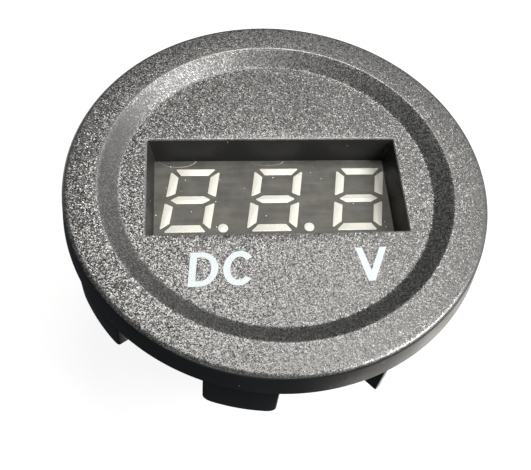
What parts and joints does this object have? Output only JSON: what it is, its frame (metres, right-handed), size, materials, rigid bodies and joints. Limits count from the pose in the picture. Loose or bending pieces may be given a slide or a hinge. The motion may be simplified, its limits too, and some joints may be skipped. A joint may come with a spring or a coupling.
{
  "type": "round panel voltmeter",
  "caption": "Round black snap-in panel voltmeter: grained bezel with a sunk face and deep window over a segmented digit display, snap legs, flanged housing and shrouded blade terminals.",
  "frame": {"origin": "centre of the flat lower ring of the terminal base, which the meter stands on", "axes": "+Z along the meter's round axis towards its face, +X to the right of the display as it is read, +Y towards the top of the digits"},
  "size_m": [0.0376, 0.0376, 0.024],
  "materials": {
    "bezel_plastic": "spark-textured black moulding",
    "leg_plastic": "plain black moulding",
    "housing_plastic": "fine matt black moulding",
    "base_plastic": "fine matt black moulding",
    "display_face": "dark warm grey face",
    "segment_resin": "milky diffused resin, unlit",
    "circuit_board": "green solder mask",
    "chip_plastic": "black moulded package",
    "tantalum_body": "yellow moulded package",
    "ceramic_body": "tan ceramic",
    "resistor_film": "dark glazed film",
    "trimmer_body": "blue moulded base",
    "rotor_plastic": "white moulded rotor",
    "gasket_rubber": "soft black rubber",
    "tinned_metal": "tin-plated",
    "screw_steel": "zinc-plated",
    "terminal_brass": "bare brass"
  },
  "bodies": {
    "root": {"bezel": "bezel_plastic", "snap_leg_1": "leg_plastic", "snap_leg_3": "leg_plastic", "snap_leg_4": "leg_plastic", "snap_leg_5": "leg_plastic", "snap_leg_6": "leg_plastic", "snap_leg_7": "leg_plastic", "snap_leg_8": "leg_plastic", "locating_rib": "leg_plastic", "display_shell": "display_face", "digit_guide_1": "segment_resin", "digit_guide_2": "segment_resin", "digit_guide_3": "segment_resin", "display_board": "circuit_board", "pin_row_front": "tinned_metal", "pin_row_back": "tinned_metal", "main_board": "circuit_board", "controller_chip": "chip_plastic", "voltage_regulator": "chip_plastic", "protection_diode": "chip_plastic", "tantalum_capacitor": "tantalum_body", "filter_capacitor": "ceramic_body", "bypass_capacitor": "ceramic_body", "divider_resistor_high": "resistor_film", "divider_resistor_low": "resistor_film", "reference_resistor": "resistor_film", "series_resistor": "resistor_film", "trimmer_base": "trimmer_body", "sealing_gasket": "gasket_rubber", "rear_housing": "housing_plastic", "board_screw_1": "screw_steel", "board_screw_2": "screw_steel", "terminal_base": "base_plastic", "blade_terminal_negative": "tinned_metal", "blade_terminal_positive": "terminal_brass"},
    "rotor": {"trimmer_rotor": "rotor_plastic"}
  },
  "joints": [
    {"name": "trimmer_turn", "type": "hinge", "parent": "root", "child": "rotor", "pos_m": [0, 0.007, 0.009], "axis": [0, 0, -1], "range_deg": [-105, 105]}
  ]
}
